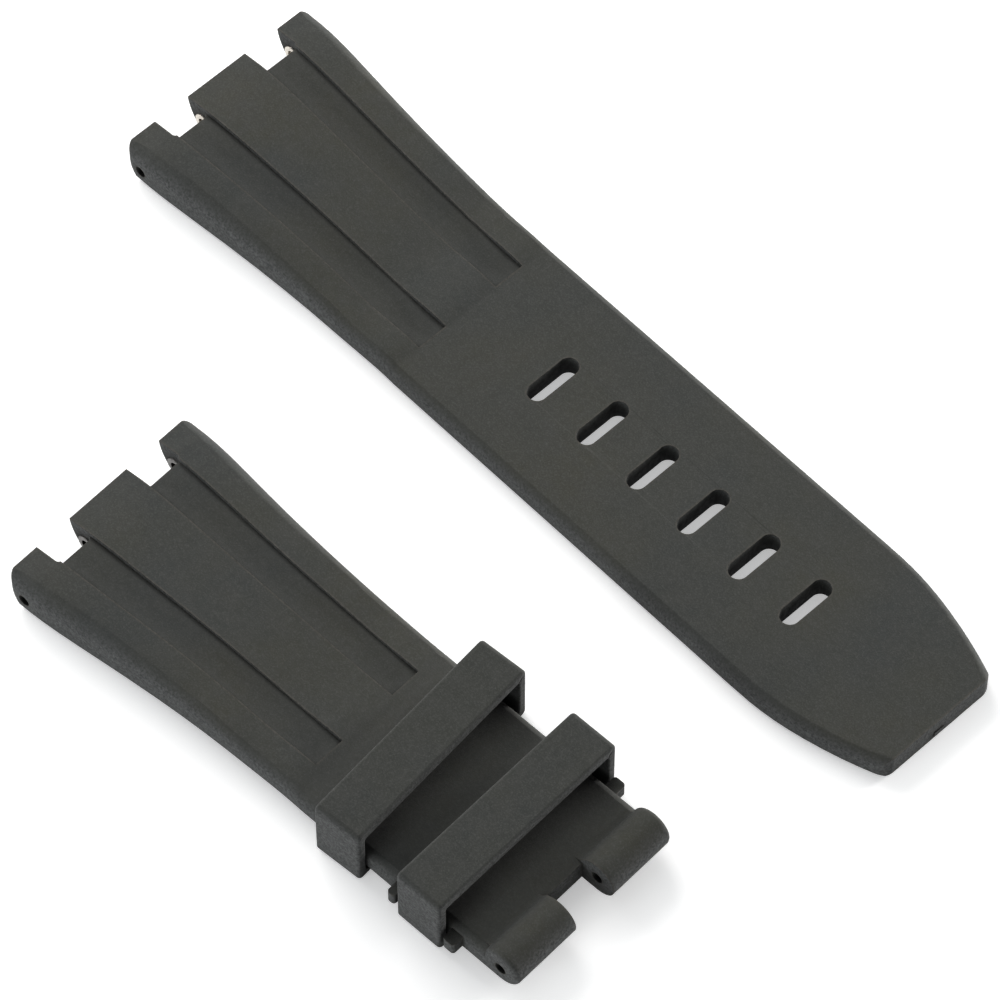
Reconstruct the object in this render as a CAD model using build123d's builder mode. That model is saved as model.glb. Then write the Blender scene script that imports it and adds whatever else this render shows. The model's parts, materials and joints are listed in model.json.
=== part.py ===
from build123d import *
import os
from math import atan2, cos, pi, radians, sin, tan

# A rubber dive strap in two halves that lie top up on the floor. X runs from the lug end of the
# tail half to its tip, Z is up, and the origin is on the floor in the middle of the pair.

# Section of both halves
lug_width = 28.5  # across the outer fingers
body_width = 24.5  # of the tail half, where the edges run parallel
tang_width = 24.1  # of the buckle half, where the edges run parallel
lug_thickness = 5.35  # thickest place, just behind the bore
body_thickness = 3.1
taper_length = 43.0  # from the finger ends to where the section stays the same
edge_lean = 1.75  # how far the edge draws in towards the top, where it leans most
foot_run = 0.5  # small bevel along the underside
foot_rise = 0.45
overrun = 2.0  # how far a cutting shape runs past the surface it cuts

# Lug end of both halves
centre_finger_width = 8.85
notch_width = 5.05
notch_depth = 3.5
notch_corner = 0.5
finger_corner = 1.4
nose_run = 2.3  # how far the rounded finger ends draw back at the underside
bore_radius = 0.75
bore_run = 2.65
bore_rise = 2.0
sleeve_radius = 1.35
sleeve_cover = 1.0  # rubber left over the outer end of a sleeve
sleeve_proud = 0.15

# Channels in the top of both halves
channel_depth = 0.7  # at the lug end
channel_end_depth = 0.4
channel_inner = 4.45  # from the centre line to the near wall, at the lug end
channel_outer = 9.25

# Tail half
tail_length = 116.5
tail_channel_length = 42.6
tip_length = 19.5
tip_width = 16.5  # where its sides would meet the end if the corners were sharp
tip_corner = 2.0
gate_proud = 0.15  # the mark that the moulding gate leaves on the end
gate_width = 1.4
gate_height = 0.8
slot_count = 6
slot_pitch = 8.0
slot_length = 7.3  # across the strap
slot_width = 2.4
first_slot_run = 56.0

# Keepers
keeper_width = 6.3  # along the strap
keeper_height = 9.1
keeper_top_wall = 1.4
keeper_side_wall = 1.2
keeper_bar = 1.0  # the part under the tang
keeper_clearance = 0.2  # under the tang
keeper_side_clearance = 0.55
keeper_drift = 0.25  # off the centre line towards +Y, as they lie
keeper_top_corner = 0.7
keeper_foot_corner = 0.7
keeper_inner_corner = 0.35
keeper_edge = 0.4
inner_keeper_run = 49.1
inner_keeper_skew = 2.8  # degrees, as it lies
outer_keeper_run = 61.75
outer_keeper_skew = 0.0

# Buckle half
buckle_channel_length = 41.3
knuckle_radius = 2.5
knuckle_run = 72.4
knuckle_edge = 0.6
knuckle_cover = 0.8  # rubber left over both ends of a sleeve
tongue_width = 5.9
tongue_back = 2.15  # from the knuckle axis back to the wall of the tongue notch
valley_radius = 1.5
inner_nub_length = 1.1  # along the strap
outer_nub_length = 1.6
nub_proud = 1.45
nub_root = 0.6
nub_rise = 0.5
nub_height = 1.8
nub_corner = 0.4
nub_play = 0.4  # from a keeper that lies square to the nub beside it

# How the halves lie
pair_spacing = 47.5  # between the two centre lines, at the lug end of the buckle half
buckle_set_back = 33.0  # from the lug end of the tail half to that of the buckle half
buckle_turn = 3.15  # degrees

# Stations of the taper. Each row gives the place along taper_length, how much of the flare and
# of the extra thickness is left, how much of edge_lean the edge has, and how much of its full
# height the buckle half has climbed towards its tang, which lies on the keepers.
taper_shares = (
    (0.0, 1.0, 0.69, 0.63, 0.0),
    (0.07, 1.0, 0.9, 0.93, 0.0),
    (0.15, 0.91, 1.0, 1.0, 0.01),
    (0.245, 0.73, 0.955, 1.0, 0.08),
    (0.333, 0.55, 0.87, 0.93, 0.19),
    (0.465, 0.32, 0.69, 0.8, 0.43),
    (0.58, 0.17, 0.51, 0.7, 0.65),
    (0.686, 0.08, 0.31, 0.64, 0.83),
    (0.837, 0.015, 0.08, 0.61, 0.98),
    (1.0, 0.0, 0.0, 0.6, 1.0),
)
# Stations of the tip: the place along tip_length and how much of the narrowing is still to come
tip_shares = (
    (0.0, 1.0),
    (0.15, 0.985),
    (0.31, 0.915),
    (0.46, 0.79),
    (0.615, 0.615),
    (0.77, 0.4),
    (0.885, 0.21),
    (1.0, 0.0),
)
# The walls of a channel: the place along the channel and the part of its lug-end distance kept
wall_shares = ((0.0, 1.0), (0.15, 0.98), (0.5, 0.9), (0.85, 0.872), (1.0, 0.866))
# The part of the thickness up to which an edge stands upright
upright_share = 0.56
# Where the rounded shoulder and the rounded nose pass, of their run and of their rise
shoulder_share = (0.3, 0.62)
nose_share = (0.37, 0.59)

body_half = body_width / 2
tang_half = tang_width / 2
lug_half = lug_width / 2
tip_half = tip_width / 2
# The angle between the centre line and the sides of the tip, over its last stretch
tip_slant = atan2(
    tip_shares[-2][1] * (body_half - tip_half), (1 - tip_shares[-2][0]) * tip_length
)
body_lean = edge_lean * taper_shares[-1][3]
end_thickness = body_thickness + (lug_thickness - body_thickness) * taper_shares[0][2]
notch_inner = centre_finger_width / 2
notch_outer = notch_inner + notch_width
tang_lift = keeper_bar + keeper_clearance
knuckle_rise = tang_lift + knuckle_radius
tongue_half = tongue_width / 2

# The centre line of each half, as a plane on the floor with its origin at the finger ends
tail_line = Plane(origin=(-tail_length / 2, pair_spacing / 2, 0))
buckle_line = Plane(
    origin=(buckle_set_back - tail_length / 2, -pair_spacing / 2, 0),
    x_dir=(cos(radians(buckle_turn)), sin(radians(buckle_turn)), 0),
    z_dir=(0, 0, 1),
)


def across(line, run):
    """A plane that cuts across a half at a distance from its finger ends."""
    return Plane(origin=line.from_local_coords((run, 0, 0)), x_dir=line.y_dir, z_dir=line.x_dir)


def beside(line, run, offset, rise):
    """A plane square to a bore, at its axis, that faces towards the +Y side of a half."""
    origin = line.from_local_coords((run, offset, rise))
    return Plane(origin=origin, x_dir=-line.x_dir, z_dir=line.y_dir)


def lengthwise(line, offset):
    """An upright plane along a half, with X along it and Y up, that faces its -Y side."""
    origin = line.from_local_coords((0, offset, 0))
    return Plane(origin=origin, x_dir=line.x_dir, z_dir=-line.y_dir)


def section(plane, half, lean, thickness, lift):
    """The outline across a half: flat underside, foot bevels, upright edges, round shoulders."""
    top = lift + thickness
    upright = lift + thickness * upright_share
    shoulder_x = half - lean * shoulder_share[0]
    shoulder_z = upright + (top - upright) * shoulder_share[1]
    with BuildSketch(plane) as outline:
        with BuildLine():
            base = Polyline(
                (-half, upright),
                (-half, lift + foot_rise),
                (foot_run - half, lift),
                (half - foot_run, lift),
                (half, lift + foot_rise),
                (half, upright),
            )
            ThreePointArc(base @ 1, (shoulder_x, shoulder_z), (half - lean, top))
            Line((half - lean, top), (lean - half, top))
            ThreePointArc((lean - half, top), (-shoulder_x, shoulder_z), base @ 0)
        make_face()
    return outline.sketch


def taper(line, half, lift):
    """The outlines across the lug end and the taper, down to half the width of what follows."""
    return [
        section(
            across(line, run * taper_length),
            half + (lug_half - half) * flare,
            edge_lean * lean,
            body_thickness + (lug_thickness - body_thickness) * swell,
            lift * climb,
        )
        for run, flare, swell, lean, climb in taper_shares
    ]


def channels(line, length, lift):
    """What is cut away for the two channels in the top of a half."""
    floor = [(-overrun, end_thickness - channel_depth)]
    for run, _, swell, _, climb in taper_shares:
        depth = channel_depth + (channel_end_depth - channel_depth) * run
        thickness = body_thickness + (lug_thickness - body_thickness) * swell
        floor.append((run * taper_length, lift * climb + thickness - depth))
    ceiling = lug_thickness + lift + overrun
    with BuildPart() as cut:
        with BuildSketch(line):
            for side in (1, -1):
                inner = [(run * length, side * channel_inner * kept) for run, kept in wall_shares]
                outer = [(run * length, side * channel_outer * kept) for run, kept in wall_shares]
                with BuildLine():
                    Spline(*inner)
                    Line(inner[-1], outer[-1])
                    Spline(*outer)
                    Line(outer[0], inner[0])
                make_face()
        extrude(amount=ceiling)
        with BuildSketch(lengthwise(line, lug_half)):
            with BuildLine():
                Spline(*floor)
                Polyline(
                    floor[-1],
                    (floor[-1][0], ceiling),
                    (floor[0][0], ceiling),
                    floor[0],
                )
            make_face()
        extrude(amount=lug_width, mode=Mode.INTERSECT)
    return cut


def corner_cut(line, run, way, half, radius, slant):
    """What rounds the two corners of an end. From there the half runs on along X if way is 1,
    and back along X if way is -1, and slant is the angle at which its sides open out."""
    turn = pi / 2 - slant
    reach = radius * tan(turn / 2)
    side_run = run + way * reach * cos(slant)
    side_y = half + reach * sin(slant)
    middle_run = run + way * radius * (1 - cos(turn / 2))
    middle_y = half - reach + radius * sin(turn / 2)
    with BuildPart() as cut:
        with BuildSketch(line.offset(-overrun)):
            for side in (1, -1):
                with BuildLine():
                    ThreePointArc(
                        (run, side * (half - reach)),
                        (middle_run, side * middle_y),
                        (side_run, side * side_y),
                    )
                    Polyline(
                        (side_run, side * side_y),
                        (side_run, side * (side_y + overrun)),
                        (run - way * overrun, side * (side_y + overrun)),
                        (run - way * overrun, side * (half - reach)),
                        (run, side * (half - reach)),
                    )
                make_face()
        extrude(amount=lug_thickness + 2 * overrun)
    return cut


def lug_end(line):
    """What is cut away at the fingers: rounded noses, notches, spring bar bore, sleeve seats."""
    with BuildPart() as cut:
        with BuildSketch(lengthwise(line, lug_half + overrun)):
            with BuildLine():
                nose = ThreePointArc(
                    (0, end_thickness),
                    (nose_run * nose_share[0], end_thickness * (1 - nose_share[1])),
                    (nose_run, 0),
                )
                Polyline(
                    nose @ 1,
                    (nose_run, -overrun),
                    (-overrun, -overrun),
                    (-overrun, end_thickness + overrun),
                    (0, end_thickness + overrun),
                    nose @ 0,
                )
            make_face()
        extrude(amount=lug_width + 2 * overrun)
        with BuildSketch(line.offset(-overrun)) as notches:
            with Locations(
                ((notch_depth - overrun) / 2, (notch_inner + notch_outer) / 2),
                ((notch_depth - overrun) / 2, -(notch_inner + notch_outer) / 2),
            ):
                Rectangle(notch_depth + overrun, notch_width)
            fillet(notches.vertices().group_by(Axis.X)[-1], notch_corner)
        extrude(amount=lug_thickness + 2 * overrun)
        with BuildSketch(beside(line, bore_run, -lug_half - overrun, bore_rise)):
            Circle(bore_radius)
        extrude(amount=lug_width + 2 * overrun)
        for start, length in sleeve_spans.values():
            with BuildSketch(beside(line, bore_run, start, bore_rise)):
                Circle(sleeve_radius)
            extrude(amount=length)
    return cut


def tube(plane, length):
    """A sleeve: a plain metal tube with the spring bar's bore."""
    with BuildPart() as sleeve:
        with BuildSketch(plane):
            Circle(sleeve_radius)
            Circle(bore_radius, mode=Mode.SUBTRACT)
        extrude(amount=length)
    return sleeve


def keeper(run, skew):
    """A moulded loop round the tang, turned a little as it lies."""
    middle = buckle_line.from_local_coords((run, keeper_drift, 0))
    turned = Plane(origin=middle, x_dir=buckle_line.x_dir).rotated((0, 0, skew))
    inner_half = tang_half + keeper_side_clearance
    outer_half = inner_half + keeper_side_wall
    inner_height = keeper_height - keeper_bar - keeper_top_wall
    with BuildPart() as loop:
        with BuildSketch(Plane(origin=turned.origin, x_dir=turned.y_dir, z_dir=turned.x_dir)):
            with BuildSketch(mode=Mode.PRIVATE) as outside:
                with Locations((0, keeper_height / 2)):
                    Rectangle(2 * outer_half, keeper_height)
                fillet(outside.vertices().group_by(Axis.Y)[-1], keeper_top_corner)
                fillet(outside.vertices().group_by(Axis.Y)[0], keeper_foot_corner)
            add(outside.sketch)
            with Locations((0, keeper_bar + inner_height / 2)):
                RectangleRounded(
                    2 * inner_half, inner_height, keeper_inner_corner, mode=Mode.SUBTRACT
                )
        extrude(amount=keeper_width / 2, both=True)
        ends = loop.faces().sort_by(Axis(turned.origin, turned.x_dir))
        fillet(ends[0].outer_wire().edges() + ends[-1].outer_wire().edges(), keeper_edge)
    return loop


# Each sleeve across the lug end: where it starts from the centre line, towards +Y, and its length
outer_sleeve_length = lug_half - sleeve_cover - notch_outer + sleeve_proud
sleeve_spans = {
    "left": (notch_outer - sleeve_proud, outer_sleeve_length),
    "centre": (-notch_inner - sleeve_proud, centre_finger_width + 2 * sleeve_proud),
    "right": (sleeve_cover - lug_half, outer_sleeve_length),
}
# The same of the sleeve in each knuckle
knuckle_sleeve_length = tang_half - tongue_half - 2 * knuckle_cover
knuckle_sleeve_starts = {
    "left": tongue_half + knuckle_cover,
    "right": knuckle_cover - tang_half,
}

tail_channels = channels(tail_line, tail_channel_length, 0)
tip_corners = corner_cut(tail_line, tail_length, -1, tip_half, tip_corner, tip_slant)
with BuildPart() as tail_strap:
    loft(taper(tail_line, body_half, 0))
    extrude(
        section(across(tail_line, taper_length), body_half, body_lean, body_thickness, 0),
        amount=tail_length - tip_length - taper_length,
    )
    loft(
        [
            section(
                across(tail_line, tail_length - tip_length + run * tip_length),
                tip_half + (body_half - tip_half) * narrow,
                body_lean,
                body_thickness,
                0,
            )
            for run, narrow in tip_shares
        ]
    )
    with BuildSketch(across(tail_line, tail_length)):
        with Locations((0, foot_rise + gate_height / 2)):
            Rectangle(gate_width, gate_height)
    extrude(amount=gate_proud)
    add(tip_corners.part, mode=Mode.SUBTRACT)
    add(corner_cut(tail_line, 0, 1, lug_half, finger_corner, 0).part, mode=Mode.SUBTRACT)
    add(lug_end(tail_line).part, mode=Mode.SUBTRACT)
    add(tail_channels.part, mode=Mode.SUBTRACT)
    with BuildSketch(tail_line):
        with Locations(*[(first_slot_run + i * slot_pitch, 0) for i in range(slot_count)]):
            SlotOverall(slot_length, slot_width, rotation=90)
    extrude(amount=body_thickness + overrun, both=True, mode=Mode.SUBTRACT)

# One knuckle: a barrel for the buckle bar, with a hollow sweep from the tang up to its top
with BuildPart() as knuckle:
    with BuildSketch(beside(buckle_line, knuckle_run, tongue_half, knuckle_rise)):
        Circle(knuckle_radius)
    extrude(amount=tang_half - tongue_half)
    fillet(knuckle.edges().filter_by(GeomType.CIRCLE), knuckle_edge)
    with BuildSketch(lengthwise(buckle_line, tongue_half)) as sweep_up:
        with Locations((knuckle_run, knuckle_rise)):
            Circle(knuckle_radius)
        with Locations((knuckle_run - 2 * knuckle_radius, tang_lift)):
            Rectangle(2 * knuckle_radius, body_thickness, align=(Align.MIN, Align.MIN))
        inner_corner = sweep_up.vertices().group_by(Axis.Y)[-1].sort_by(Axis.X)[-1]
        fillet(inner_corner, valley_radius)
    extrude(amount=-(tang_half - body_lean - tongue_half))

buckle_channels = channels(buckle_line, buckle_channel_length, tang_lift)
nub_start = keeper_width / 2 + nub_play
nub_offset = tang_half + (nub_proud - nub_root) / 2
with BuildPart() as buckle_strap:
    loft(taper(buckle_line, tang_half, tang_lift))
    extrude(
        section(
            across(buckle_line, taper_length), tang_half, body_lean, body_thickness, tang_lift
        ),
        amount=knuckle_run - taper_length,
    )
    add(knuckle.part)
    mirror(knuckle.part, about=lengthwise(buckle_line, 0))
    with BuildSketch(buckle_line.offset(tang_lift + nub_rise)):
        for way, length in ((-1, inner_nub_length), (1, outer_nub_length)):
            nub_run = outer_keeper_run + way * (nub_start + length / 2)
            with Locations((nub_run, nub_offset), (nub_run, -nub_offset)):
                RectangleRounded(length, nub_root + nub_proud, nub_corner)
    extrude(amount=nub_height)
    with BuildSketch(buckle_line):
        with Locations((knuckle_run - tongue_back, 0)):
            Rectangle(
                tongue_back + knuckle_radius + overrun,
                tongue_width,
                align=(Align.MIN, Align.CENTER),
            )
    extrude(amount=knuckle_rise + knuckle_radius + overrun, mode=Mode.SUBTRACT)
    with BuildSketch(beside(buckle_line, knuckle_run, -tang_half, knuckle_rise)):
        Circle(bore_radius)
    extrude(amount=tang_width, mode=Mode.SUBTRACT)
    for start in knuckle_sleeve_starts.values():
        with BuildSketch(beside(buckle_line, knuckle_run, start, knuckle_rise)):
            Circle(sleeve_radius)
        extrude(amount=knuckle_sleeve_length, mode=Mode.SUBTRACT)
    add(corner_cut(buckle_line, 0, 1, lug_half, finger_corner, 0).part, mode=Mode.SUBTRACT)
    add(lug_end(buckle_line).part, mode=Mode.SUBTRACT)
    add(buckle_channels.part, mode=Mode.SUBTRACT)

pieces = {
    "tail_strap": tail_strap,
    "buckle_strap": buckle_strap,
    "inner_keeper": keeper(inner_keeper_run, inner_keeper_skew),
    "outer_keeper": keeper(outer_keeper_run, outer_keeper_skew),
}
for side, (start, length) in sleeve_spans.items():
    for half, line in (("tail", tail_line), ("buckle", buckle_line)):
        name = f"{half}_lug_sleeve_{side}"
        pieces[name] = tube(beside(line, bore_run, start, bore_rise), length)
for side, start in knuckle_sleeve_starts.items():
    plane = beside(buckle_line, knuckle_run, start, knuckle_rise)
    pieces[f"knuckle_sleeve_{side}"] = tube(plane, knuckle_sleeve_length)

os.makedirs("parts", exist_ok=True)
for name, piece in pieces.items():
    piece.part.label = name
    export_step(piece.part, f"parts/{name}.step")
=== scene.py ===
import json
import math

import bpy
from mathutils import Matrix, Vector

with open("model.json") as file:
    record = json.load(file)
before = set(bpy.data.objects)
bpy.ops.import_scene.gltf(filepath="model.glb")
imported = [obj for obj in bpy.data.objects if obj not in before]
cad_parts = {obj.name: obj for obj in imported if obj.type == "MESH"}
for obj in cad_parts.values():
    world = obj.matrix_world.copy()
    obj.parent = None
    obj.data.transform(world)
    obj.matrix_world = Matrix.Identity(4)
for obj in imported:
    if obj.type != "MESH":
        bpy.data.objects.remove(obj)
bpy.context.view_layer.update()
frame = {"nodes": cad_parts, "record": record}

MM = 0.001
UP = (0.0, 0.0, 1.0)
LUG_SIDE = (-1.0, 0.0, 0.0)  # from the pair towards what lies past its lug ends
WHITE = (1.0, 1.0, 1.0)

# Softening of the edges
RUBBER_EDGE = 0.25 * MM
SLEEVE_EDGE = 0.06 * MM
EDGE_SEGMENTS = 3
SHARPEST = math.radians(28)  # an edge that turns less than this stays as it is
WELD = 0.002 * MM
LARGE_FACE_WEIGHT = 80  # how far large faces decide the shading of the edges round them

# Patterns: the size of their features, their detail and their roughness
TONE = (17 * MM, 3.0, 0.5)
CLOUD = (2.2 * MM, 4.0, 0.6)
GRAIN = (0.21 * MM, 3.0, 0.65)
MOTTLE = (0.32 * MM, 4.0, 0.7)
RUBBER_SHINE = (0.6 * MM, 2.0, 0.5)
PORES = (0.12 * MM, 2.0, 0.6)
STAIN = (0.9 * MM, 4.0, 0.6)
STEEL_SHINE = (0.2 * MM, 3.0, 0.5)
SCRATCHES = (0.1 * MM, 2.0, 0.5)

# How the patterns are spread: the range that counts, and what it becomes if that isn't 0 to 1
TONE_SPREAD = (0.36, 0.64)
CLOUD_SPREAD = (0.35, 0.7, 0.0, 0.7)
GRAIN_SPREAD = (0.48, 0.75, 0.0, 0.5)
MOTTLE_SPREAD = (0.36, 0.66)
RUBBER_ROUGHNESS = (0.3, 0.7, 0.72, 0.9)
STAIN_SPREAD = (0.4, 0.7)
STEEL_ROUGHNESS = (0.3, 0.7, 0.28, 0.5)

RUBBER_GLOSS = 0.2  # its specular level

# Bumps of the patterns: their height and their strength
CLOUD_BUMPS = (0.05 * MM, 0.3)
GRAIN_BUMPS = (0.03 * MM, 0.5)
PORE_BUMPS = (0.012 * MM, 0.4)
SCRATCH_BUMPS = (0.01 * MM, 0.3)

# Colours. A pattern blends the two of a pair.
STRAP = ((0.041, 0.044, 0.042), (0.048, 0.048, 0.039))  # cool and warm
KEEPER = ((0.036, 0.039, 0.039), (0.040, 0.042, 0.037))
CLOUDED = (0.050, 0.051, 0.047)
GRAINED = (0.09, 0.09, 0.085)
DUSTY = ((0.043, 0.044, 0.043), (0.112, 0.114, 0.113))
# lighter edges: wear, and partly a painted highlight
WEAR_AND_HIGHLIGHT = ((0.05, 0.048, 0.042), (0.088, 0.083, 0.072))
# painted light: a lighter grey for level faces in shallow recesses
PAINTED_RECESS_LIGHT = (0.078, 0.08, 0.076)
# painted shadow: near black for level faces that something shades from the lug side
PAINTED_SHADOW = (0.003, 0.003, 0.003)
# painted shade: a dark grey for steep faces in gaps
PAINTED_GAP_SHADE = (0.012, 0.013, 0.013)
BRIGHT_STEEL = ((0.74, 0.7, 0.63), (0.5, 0.46, 0.41))  # clean and stained
# the buckle half's tubes: the same steel painted darker, as painted shade
PAINTED_SHADE_STEEL = ((0.15, 0.145, 0.14), (0.07, 0.068, 0.066))

# Where dust, wear, painted highlights, painted light and painted shade lie on the rubber
SHADE_SAMPLES = 8
REACH = 7 * MM  # how far from a place other faces still shade it
STEEPNESS = (0.92, 0.3)  # how far a face looks up where dust begins, and where it is full
DUST_WEAR_AND_SHADE_OPENNESS = (0.3, 0.55)  # the openness at which dust and wear begin, and at which they are full; below it they stay off, which paints shade into gaps
WEAR_AND_HIGHLIGHT_WIDTH = 0.5 * MM
EDGE_TURN = (0.992, 0.86)  # how far normals agree where wear and the painted edge highlight begin, and where they are full
PAINTED_RECESS_LIGHT_SPREAD = (0.99, 0.88, 0.0, 0.35)  # of the openness, for the painted light that lightens level faces in shallow recesses
PAINTED_SHADOW_LEAD = (-0.6, 0.0, 0.0)  # turns a normal towards the lug ends, for the painted shadow
PAINTED_SHADOW_SPREAD = (0.38, 0.76)  # of the openness on that side, for the painted shadow on level faces
PAINTED_GAP_SHADE_SPREAD = (0.1, 0.45)  # of the openness, for the painted shade that darkens steep faces in gaps

# Floor
FLOOR_HALF = 3.0  # from the middle to an edge, in metres
FLOOR_COLOUR = (0.97, 0.97, 0.97)
FLOOR_ROUGHNESS = 0.9
FLOOR_LIFT = 0.39  # white that the camera sees on top of the light on the floor

# Light
ROOM_COLOUR = (0.96, 0.98, 1.0)
ROOM_STRENGTH = (0.12, 0.62)  # on the side of the tip, and on the side of the lug ends
# The name of a lamp, its place and its side in metres, its watts and its colour
LAMPS = (
    ("past_the_lugs", (-0.84, 0.2, 0.5), 0.8, 10.0, (1.0, 0.985, 0.965)),
    ("beyond", (0.2, 0.95, 0.14), 0.25, 11.5, (1.0, 0.99, 0.97)),
    ("beside", (-0.1, -0.95, 0.2), 0.35, 3.0, (0.94, 0.98, 1.0)),
)

# Camera
AIM = Vector((3.8, 9.83, 0.0)) * MM
AZIMUTH = math.radians(46.5)
ELEVATION = math.radians(58.27)
DISTANCE = 712.0 * MM
LENS = 230.7
SENSOR = 36.0


def new_material(name):
    """A material with nothing but a shader and its output, its node tree, and that shader."""
    material = bpy.data.materials.new(name)
    material.use_nodes = True
    tree = material.node_tree
    tree.nodes.clear()
    output = tree.nodes.new("ShaderNodeOutputMaterial")
    shader = tree.nodes.new("ShaderNodeBsdfPrincipled")
    tree.links.new(shader.outputs["BSDF"], output.inputs["Surface"])
    return material, tree, shader


def noise(tree, coordinates, size, detail, roughness):
    """Noise whose features are about that size across, in metres."""
    node = tree.nodes.new("ShaderNodeTexNoise")
    node.inputs["Scale"].default_value = 1.0 / size
    node.inputs["Detail"].default_value = detail
    node.inputs["Roughness"].default_value = roughness
    tree.links.new(coordinates, node.inputs["Vector"])
    return node.outputs["Fac"]


def spread(tree, value, low, high, to_low=0.0, to_high=1.0):
    """Maps a value from one range to another, and stays inside the second."""
    node = tree.nodes.new("ShaderNodeMapRange")
    node.inputs["From Min"].default_value = low
    node.inputs["From Max"].default_value = high
    node.inputs["To Min"].default_value = to_low
    node.inputs["To Max"].default_value = to_high
    tree.links.new(value, node.inputs["Value"])
    return node.outputs["Result"]


def blend(tree, amount, first, second):
    """A colour between two others. Each is a colour or the output of another node."""
    node = tree.nodes.new("ShaderNodeMix")
    node.data_type = "RGBA"
    tree.links.new(amount, node.inputs["Factor"])
    for name, colour in (("A", first), ("B", second)):
        socket = next(s for s in node.inputs if s.name == name and s.type == "RGBA")
        if isinstance(colour, tuple):
            socket.default_value = (*colour, 1.0)
        else:
            tree.links.new(colour, socket)
    return next(s for s in node.outputs if s.type == "RGBA")


def raise_bumps(tree, layers):
    """A normal from layers of (pattern, height, strength), the first one lowest."""
    normal = None
    for pattern, height, strength in layers:
        bump = tree.nodes.new("ShaderNodeBump")
        bump.inputs["Distance"].default_value = height
        bump.inputs["Strength"].default_value = strength
        tree.links.new(pattern, bump.inputs["Height"])
        if normal is not None:
            tree.links.new(normal, bump.inputs["Normal"])
        normal = bump.outputs["Normal"]
    return normal


def agreement(tree, first, second):
    """How far two directions agree: 1 if they are the same, 0 if square and -1 if opposite."""
    product = tree.nodes.new("ShaderNodeVectorMath")
    product.operation = "DOT_PRODUCT"
    for socket, direction in zip(product.inputs, (first, second)):
        if isinstance(direction, tuple):
            socket.default_value = direction
        else:
            tree.links.new(direction, socket)
    return product.outputs["Value"]


def lean(tree, direction, lead):
    """A direction with a lead added to it, brought back to length 1."""
    total = tree.nodes.new("ShaderNodeVectorMath")
    total.operation = "ADD"
    tree.links.new(direction, total.inputs[0])
    total.inputs[1].default_value = lead
    unit = tree.nodes.new("ShaderNodeVectorMath")
    unit.operation = "NORMALIZE"
    tree.links.new(total.outputs["Vector"], unit.inputs[0])
    return unit.outputs["Vector"]


def times(tree, first, second):
    """The product of two values."""
    product = tree.nodes.new("ShaderNodeMath")
    product.operation = "MULTIPLY"
    tree.links.new(first, product.inputs[0])
    tree.links.new(second, product.inputs[1])
    return product.outputs["Value"]


def edges(tree, normal):
    """Goes from 0 on a flat face to 1 at an edge, over the width of the wear and painted edge
    highlight.
    """
    bevel = tree.nodes.new("ShaderNodeBevel")
    bevel.samples = SHADE_SAMPLES
    bevel.inputs["Radius"].default_value = WEAR_AND_HIGHLIGHT_WIDTH
    return spread(tree, agreement(tree, bevel.outputs["Normal"], normal), *EDGE_TURN)


def openness(tree, direction=None):
    """Goes from 0 deep in a gap to 1 where nothing is near, as seen along the face's own normal
    or along the direction that is given."""
    cavity = tree.nodes.new("ShaderNodeAmbientOcclusion")
    cavity.samples = SHADE_SAMPLES
    cavity.inputs["Distance"].default_value = REACH
    if direction is not None:
        tree.links.new(direction, cavity.inputs["Normal"])
    return cavity.outputs["AO"]


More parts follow.
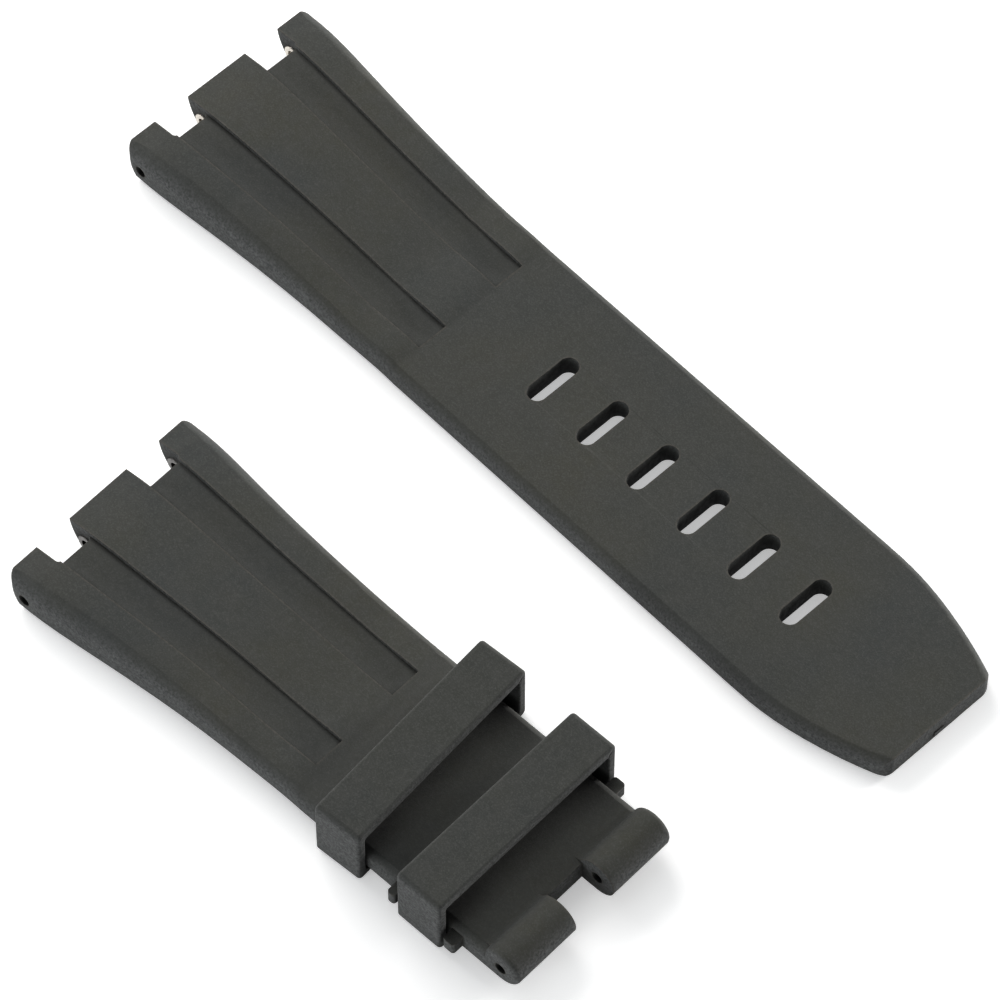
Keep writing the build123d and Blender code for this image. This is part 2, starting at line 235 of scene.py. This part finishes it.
def make_rubber(name, cool, warm):
    """Matt black moulded rubber: cool and warm greys, a fine grain, dust on its sides and wear
    on its edges, partly a painted highlight. Dust and wear stay out of gaps, which paints shade
    there. Level faces get painted light in shallow recesses and a painted shadow where something
    shelters them on the side of the lug ends, and steep faces get painted shade in gaps."""
    material, tree, shader = new_material(name)
    place = tree.nodes.new("ShaderNodeTexCoord").outputs["Object"]
    tone = spread(tree, noise(tree, place, *TONE), *TONE_SPREAD)
    colour = blend(tree, tone, cool, warm)
    cloud = spread(tree, noise(tree, place, *CLOUD), *CLOUD_SPREAD)
    colour = blend(tree, cloud, colour, CLOUDED)
    grain = noise(tree, place, *GRAIN)
    colour = blend(tree, spread(tree, grain, *GRAIN_SPREAD), colour, GRAINED)
    mottle = spread(tree, noise(tree, place, *MOTTLE), *MOTTLE_SPREAD)
    normal = tree.nodes.new("ShaderNodeNewGeometry").outputs["Normal"]
    slope = spread(tree, agreement(tree, normal, UP), *STEEPNESS)
    dusty = blend(tree, mottle, *DUSTY)
    free = openness(tree)
    # dust and wear stay out of gaps, which also paints shade there
    dust_wear_and_painted_shade = spread(tree, free, *DUST_WEAR_AND_SHADE_OPENNESS)
    colour = blend(tree, times(tree, slope, dust_wear_and_painted_shade), colour, dusty)
    # edge wear, partly a painted highlight
    wear_and_highlight = blend(tree, mottle, *WEAR_AND_HIGHLIGHT)
    colour = blend(tree, times(tree, edges(tree, normal), dust_wear_and_painted_shade), colour, wear_and_highlight)
    # painted light: level faces in shallow recesses are lightened against their real shade
    level = blend(tree, spread(tree, free, *PAINTED_RECESS_LIGHT_SPREAD), colour, PAINTED_RECESS_LIGHT)
    # painted shadow: level faces sheltered on the side of the lug ends are darkened towards near
    # black
    painted_shadow_mask = spread(tree, openness(tree, lean(tree, normal, PAINTED_SHADOW_LEAD)), *PAINTED_SHADOW_SPREAD)
    level = blend(tree, painted_shadow_mask, PAINTED_SHADOW, level)
    # painted shade: steep faces are darkened in gaps
    steep = blend(tree, spread(tree, free, *PAINTED_GAP_SHADE_SPREAD), PAINTED_GAP_SHADE, colour)
    colour = blend(tree, slope, level, steep)
    tree.links.new(colour, shader.inputs["Base Color"])
    rough = spread(tree, noise(tree, place, *RUBBER_SHINE), *RUBBER_ROUGHNESS)
    tree.links.new(rough, shader.inputs["Roughness"])
    shader.inputs["Specular IOR Level"].default_value = RUBBER_GLOSS
    pores = noise(tree, place, *PORES)
    layers = ((cloud, *CLOUD_BUMPS), (grain, *GRAIN_BUMPS), (pores, *PORE_BUMPS))
    tree.links.new(raise_bumps(tree, layers), shader.inputs["Normal"])
    return material


def make_steel(name, clean, stained):
    """Drawn steel tube with rubber dust and a dull skin."""
    material, tree, shader = new_material(name)
    place = tree.nodes.new("ShaderNodeTexCoord").outputs["Object"]
    stain = spread(tree, noise(tree, place, *STAIN), *STAIN_SPREAD)
    colour = blend(tree, stain, clean, stained)
    tree.links.new(colour, shader.inputs["Base Color"])
    rough = spread(tree, noise(tree, place, *STEEL_SHINE), *STEEL_ROUGHNESS)
    tree.links.new(rough, shader.inputs["Roughness"])
    shader.inputs["Metallic"].default_value = 1.0
    layers = ((noise(tree, place, *SCRATCHES), *SCRATCH_BUMPS),)
    tree.links.new(raise_bumps(tree, layers), shader.inputs["Normal"])
    return material


def soften(piece, width):
    """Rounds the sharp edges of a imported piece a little, as moulding and tumbling do."""
    weld = piece.modifiers.new("weld", "WELD")
    weld.merge_threshold = WELD
    bevel = piece.modifiers.new("soft_edges", "BEVEL")
    bevel.width = width
    bevel.segments = EDGE_SEGMENTS
    bevel.limit_method = "ANGLE"
    bevel.angle_limit = SHARPEST
    even = piece.modifiers.new("even_shading", "WEIGHTED_NORMAL")
    even.weight = LARGE_FACE_WEIGHT
    piece.data.shade_smooth()


def dress():
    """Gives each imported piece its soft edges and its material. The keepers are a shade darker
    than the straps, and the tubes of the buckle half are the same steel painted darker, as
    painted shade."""
    rubber = make_rubber("rubber", *STRAP)
    keeper_rubber = make_rubber("keeper_rubber", *KEEPER)
    bright = make_steel("sleeve_steel", *BRIGHT_STEEL)
    # the buckle half's tubes are painted darker, as painted shade
    painted_shade_steel = make_steel("sleeve_steel_painted_shade", *PAINTED_SHADE_STEEL)
    slots = {row["node"]: row["material_slot"] for row in frame["record"]["subparts"]}
    for name, piece in frame["nodes"].items():
        if slots[name] == "rubber":
            material, width = (keeper_rubber if name.endswith("keeper") else rubber), RUBBER_EDGE
        else:
            material, width = (bright if name.startswith("tail") else painted_shade_steel), SLEEVE_EDGE
        piece.data.materials.clear()
        piece.data.materials.append(material)
        soften(piece, width)


def lift_background(tree, surface, output):
    """Adds white that only the camera, mirrors and glass see. It lights nothing, so the floor
    keeps its shadows."""
    path = tree.nodes.new("ShaderNodeLightPath")
    seen = path.outputs["Is Camera Ray"]
    for other in ("Is Glossy Ray", "Is Transmission Ray"):
        either = tree.nodes.new("ShaderNodeMath")
        either.operation = "MAXIMUM"
        tree.links.new(seen, either.inputs[0])
        tree.links.new(path.outputs[other], either.inputs[1])
        seen = either.outputs["Value"]
    white = tree.nodes.new("ShaderNodeEmission")
    white.inputs["Color"].default_value = (*WHITE, 1.0)
    tree.links.new(spread(tree, seen, 0.0, 1.0, 0.0, FLOOR_LIFT), white.inputs["Strength"])
    both = tree.nodes.new("ShaderNodeAddShader")
    tree.links.new(surface, both.inputs[0])
    tree.links.new(white.outputs["Emission"], both.inputs[1])
    tree.links.new(both.outputs["Shader"], output.inputs["Surface"])


def make_floor():
    """A plain white floor."""
    half = FLOOR_HALF
    mesh = bpy.data.meshes.new("floor")
    corners = [(-half, -half, 0), (half, -half, 0), (half, half, 0), (-half, half, 0)]
    mesh.from_pydata(corners, [], [(0, 1, 2, 3)])
    floor = bpy.data.objects.new("floor", mesh)
    bpy.context.scene.collection.objects.link(floor)
    material, tree, shader = new_material("floor")
    shader.inputs["Base Color"].default_value = (*FLOOR_COLOUR, 1.0)
    shader.inputs["Roughness"].default_value = FLOOR_ROUGHNESS
    shader.inputs["Specular IOR Level"].default_value = 0.0
    output = next(node for node in tree.nodes if node.type == "OUTPUT_MATERIAL")
    lift_background(tree, shader.outputs["BSDF"], output)
    mesh.materials.append(material)


def make_lamp(name, place, size, power, colour):
    """A square soft lamp that faces the object."""
    data = bpy.data.lights.new(name, "AREA")
    data.shape = "SQUARE"
    data.size = size
    data.energy = power
    data.color = colour
    lamp = bpy.data.objects.new(name, data)
    lamp.location = place
    lamp.rotation_euler = (AIM - Vector(place)).to_track_quat("-Z", "Y").to_euler()
    bpy.context.scene.collection.objects.link(lamp)


def make_light():
    """Soft studio light: a pale room that is brighter on the side of the lug ends, a broad lamp
    past them, a low one beyond the tail half that catches the far edges, and a cool weak one
    beside the buckle half."""
    world = bpy.data.worlds.new("studio")
    bpy.context.scene.world = world
    world.use_nodes = True
    tree = world.node_tree
    background = tree.nodes["Background"]
    background.inputs["Color"].default_value = (*ROOM_COLOUR, 1.0)
    direction = tree.nodes.new("ShaderNodeTexCoord").outputs["Generated"]
    side = agreement(tree, direction, LUG_SIDE)
    strength = spread(tree, side, -1.0, 1.0, *ROOM_STRENGTH)
    tree.links.new(strength, background.inputs["Strength"])
    for lamp in LAMPS:
        make_lamp(*lamp)


def make_camera():
    """Looks at the pair as the photograph does."""
    data = bpy.data.cameras.new("camera")
    data.lens = LENS
    data.sensor_width = SENSOR
    camera = bpy.data.objects.new("camera", data)
    level = math.cos(ELEVATION)
    back = Vector((math.sin(AZIMUTH) * level, -math.cos(AZIMUTH) * level, math.sin(ELEVATION)))
    camera.location = AIM + back * DISTANCE
    camera.rotation_euler = (-back).to_track_quat("-Z", "Y").to_euler()
    bpy.context.scene.collection.objects.link(camera)
    bpy.context.scene.camera = camera


make_camera()
make_floor()
make_light()
dress()
bpy.context.scene.view_settings.view_transform = "Standard"

bpy.context.view_layer.update()
